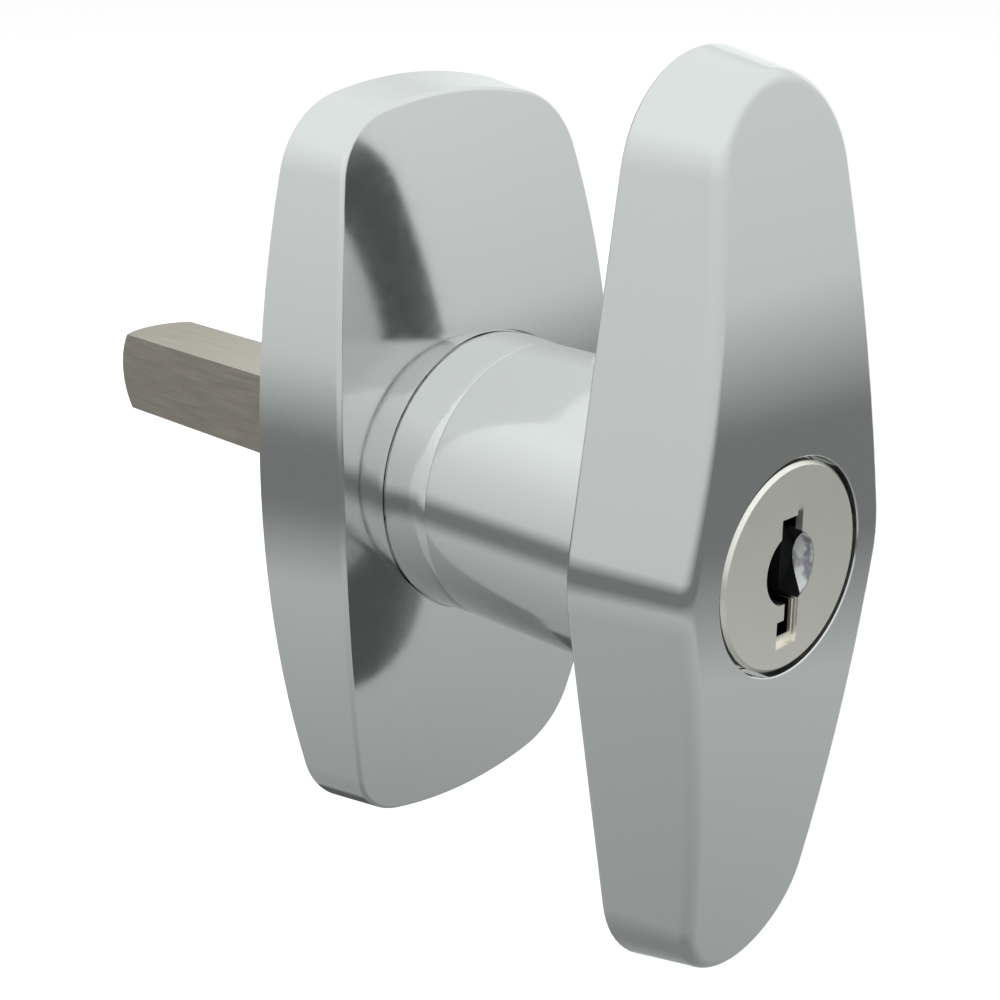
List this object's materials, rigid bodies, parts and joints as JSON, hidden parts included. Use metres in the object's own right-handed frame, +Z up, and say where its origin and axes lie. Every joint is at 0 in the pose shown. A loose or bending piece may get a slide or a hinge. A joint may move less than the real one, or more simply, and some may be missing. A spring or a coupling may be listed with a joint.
{
  "type": "t-handle cam latch",
  "caption": "Keyed T-handle on a domed cover plate: a quarter turn swings a square spindle through the door, and a bolt driven by the key plug locks it.",
  "frame": {"origin": "on the spindle axis, in the plane of the door's face that the rosette seats on", "axes": "+Z up along the upright handle, the grip faces -Y, the spindle runs back into the door along +Y"},
  "size_m": [0.0362, 0.0851, 0.0762],
  "materials": {
    "polished_chrome": "polished chrome plate on a zinc casting",
    "plug_nickel": "satin nickel plate",
    "spindle_steel": "drawn steel, zinc plated, satin",
    "spring_steel": "blued spring steel",
    "zinc_steel": "zinc-plated steel",
    "screw_steel": "black oxide steel",
    "barrel_zinc": "bare zinc casting",
    "bush_bronze": "sintered bronze",
    "wafer_brass": "stamped brass",
    "wafer_spring_wire": "drawn spring wire",
    "gasket_rubber": "black cellular rubber",
    "seal_rubber": "black nitrile rubber"
  },
  "bodies": {
    "rosette": {"rosette": "polished_chrome", "neck_collar": "polished_chrome", "bearing_bush": "bush_bronze", "back_gasket": "gasket_rubber", "spring_washer": "spring_steel"},
    "handle": {"t_handle": "polished_chrome", "spigot_seal": "seal_rubber", "square_spindle": "spindle_steel", "spindle_pin": "spring_steel", "stop_washer": "zinc_steel", "retaining_ring": "spring_steel", "lock_barrel": "barrel_zinc", "barrel_screw": "screw_steel"},
    "plug": {"lock_plug": "plug_nickel", "plug_clip": "spring_steel", "driver_cam": "zinc_steel", "wafer_spring_1": "wafer_spring_wire", "wafer_spring_2": "wafer_spring_wire", "wafer_spring_3": "wafer_spring_wire", "wafer_spring_4": "wafer_spring_wire", "wafer_spring_5": "wafer_spring_wire"},
    "bolt": {"lock_bolt": "zinc_steel"},
    "wafer_1": {"wafer_1": "wafer_brass"},
    "wafer_2": {"wafer_2": "wafer_brass"},
    "wafer_3": {"wafer_3": "wafer_brass"},
    "wafer_4": {"wafer_4": "wafer_brass"},
    "wafer_5": {"wafer_5": "wafer_brass"}
  },
  "joints": [
    {"name": "handle_turn", "type": "hinge", "parent": "rosette", "child": "handle", "pos_m": [0, 0, 0], "axis": [0, 1, 0], "range_deg": [0, 90]},
    {"name": "plug_turn", "type": "hinge", "parent": "handle", "child": "plug", "pos_m": [0, -0.03, 0], "axis": [0, 1, 0], "range_deg": [0, 90]},
    {"name": "bolt_slide", "type": "slide", "parent": "handle", "child": "bolt", "axis": [0, 0, 1], "range_m": [0, 0.00283]},
    {"name": "wafer_slide_1", "type": "slide", "parent": "plug", "child": "wafer_1", "axis": [0, 0, 1], "range_m": [0, 0.0006], "deforming": ["wafer_spring_1"]},
    {"name": "wafer_slide_2", "type": "slide", "parent": "plug", "child": "wafer_2", "axis": [0, 0, -1], "range_m": [0, 0.0006], "deforming": ["wafer_spring_2"]},
    {"name": "wafer_slide_3", "type": "slide", "parent": "plug", "child": "wafer_3", "axis": [0, 0, 1], "range_m": [0, 0.0006], "deforming": ["wafer_spring_3"]},
    {"name": "wafer_slide_4", "type": "slide", "parent": "plug", "child": "wafer_4", "axis": [0, 0, -1], "range_m": [0, 0.0006], "deforming": ["wafer_spring_4"]},
    {"name": "wafer_slide_5", "type": "slide", "parent": "plug", "child": "wafer_5", "axis": [0, 0, 1], "range_m": [0, 0.0006], "deforming": ["wafer_spring_5"]}
  ],
  "couplings": [
    {"joint": "bolt_slide", "follows": "plug_turn", "m_per_rad": 0.0018006}
  ]
}
